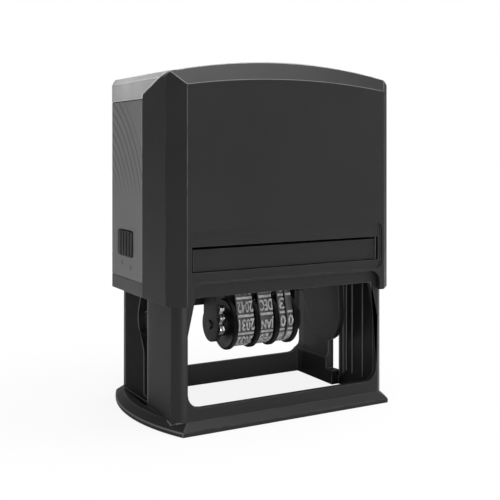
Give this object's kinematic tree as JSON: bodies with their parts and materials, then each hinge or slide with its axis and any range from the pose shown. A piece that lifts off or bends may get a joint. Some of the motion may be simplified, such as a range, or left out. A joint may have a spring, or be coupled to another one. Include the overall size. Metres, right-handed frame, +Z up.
{
  "type": "self-inking date stamp",
  "caption": "Self-inking date stamp: a sprung housing slides down a windowed base frame and flips the type carrier with its date wheels from the ink pad to the paper.",
  "frame": {"origin": "middle of the base frame's underside, on the table", "axes": "+Z up along the press stroke, -Y towards the front where the ink pad slides out, +X to the right seen from the front"},
  "size_m": [0.0896, 0.0564, 0.115],
  "materials": {
    "black_abs": "satin moulded black ABS",
    "dark_frame_abs": "satin moulded dark ABS",
    "grey_side_abs": "fine matt moulded mid-grey ABS",
    "clear_acrylic": "clear polished acrylic",
    "card_paper": "uncoated card",
    "yoke_abs": "moulded dark grey ABS",
    "cartridge_abs": "satin moulded black ABS",
    "ink_felt": "ink-soaked felt",
    "steel": "ground bright steel pin",
    "spring_steel": "drawn bright spring wire and strip",
    "carrier_abs": "moulded black ABS",
    "type_plate_abs": "moulded grey plate",
    "die_rubber": "engraved red-brown rubber",
    "band_rubber": "moulded dark grey rubber with raised characters",
    "wheel_abs": "moulded black, half gloss"
  },
  "bodies": {
    "base": {"base_frame": "dark_frame_abs", "return_spring_left": "spring_steel", "return_spring_right": "spring_steel"},
    "ink_pad": {"ink_pad_tray": "cartridge_abs", "ink_pad_felt": "ink_felt"},
    "housing": {"front_cover": "black_abs", "rear_cover": "black_abs", "side_panel_left": "grey_side_abs", "side_panel_right": "grey_side_abs", "index_card": "card_paper", "inner_yoke": "yoke_abs", "axle_left": "steel", "axle_right": "steel"},
    "index_cover": {"index_window": "clear_acrylic"},
    "lock_left": {"lock_button_left": "wheel_abs"},
    "lock_right": {"lock_button_right": "wheel_abs"},
    "carrier": {"type_carrier": "carrier_abs", "type_plate": "type_plate_abs", "text_die": "die_rubber", "wheel_shaft": "steel", "band_cheek_left": "carrier_abs", "band_cheek_right": "carrier_abs", "band_anvil": "carrier_abs", "detent_clip": "spring_steel", "year_band": "band_rubber", "month_band": "band_rubber", "day_tens_band": "band_rubber", "day_units_band": "band_rubber"},
    "year_setting": {"year_wheel": "wheel_abs"},
    "month_setting": {"month_wheel": "wheel_abs"},
    "day_tens_setting": {"day_tens_wheel": "wheel_abs"},
    "day_units_setting": {"day_units_wheel": "wheel_abs"}
  },
  "joints": [
    {"name": "press", "type": "slide", "parent": "base", "child": "housing", "axis": [0, 0, 1], "range_m": [-0.033, 0], "stiffness_N_per_m": 400, "springref_m": 0.012, "deforming": ["return_spring_left", "return_spring_right"]},
    {"name": "carrier_flip", "type": "hinge", "parent": "housing", "child": "carrier", "pos_m": [0, 0, 0.042], "axis": [1, 0, 0], "range_deg": [0, 180]},
    {"name": "ink_pad_slide", "type": "slide", "parent": "base", "child": "ink_pad", "axis": [0, -1, 0], "range_m": [0, 0.046]},
    {"name": "index_cover_lift", "type": "slide", "parent": "housing", "child": "index_cover", "axis": [0, 0, 1], "range_m": [0, 0.012]},
    {"name": "lock_left_push", "type": "slide", "parent": "housing", "child": "lock_left", "axis": [1, 0, 0], "range_m": [0, 0.0014], "stiffness_N_per_m": 300, "springref_m": -0.0007},
    {"name": "lock_right_push", "type": "slide", "parent": "housing", "child": "lock_right", "axis": [-1, 0, 0], "range_m": [0, 0.0014], "stiffness_N_per_m": 300, "springref_m": -0.0007},
    {"name": "year_turn", "type": "hinge", "parent": "carrier", "child": "year_setting", "pos_m": [0, 0, 0.027], "axis": [1, 0, 0], "continuous": true},
    {"name": "month_turn", "type": "hinge", "parent": "carrier", "child": "month_setting", "pos_m": [0, 0, 0.027], "axis": [1, 0, 0], "continuous": true},
    {"name": "day_tens_turn", "type": "hinge", "parent": "carrier", "child": "day_tens_setting", "pos_m": [0, 0, 0.027], "axis": [1, 0, 0], "continuous": true},
    {"name": "day_units_turn", "type": "hinge", "parent": "carrier", "child": "day_units_setting", "pos_m": [0, 0, 0.027], "axis": [1, 0, 0], "continuous": true}
  ],
  "couplings": [
    {"joint": "carrier_flip", "follows": "press", "rad_per_m": -95.2}
  ]
}
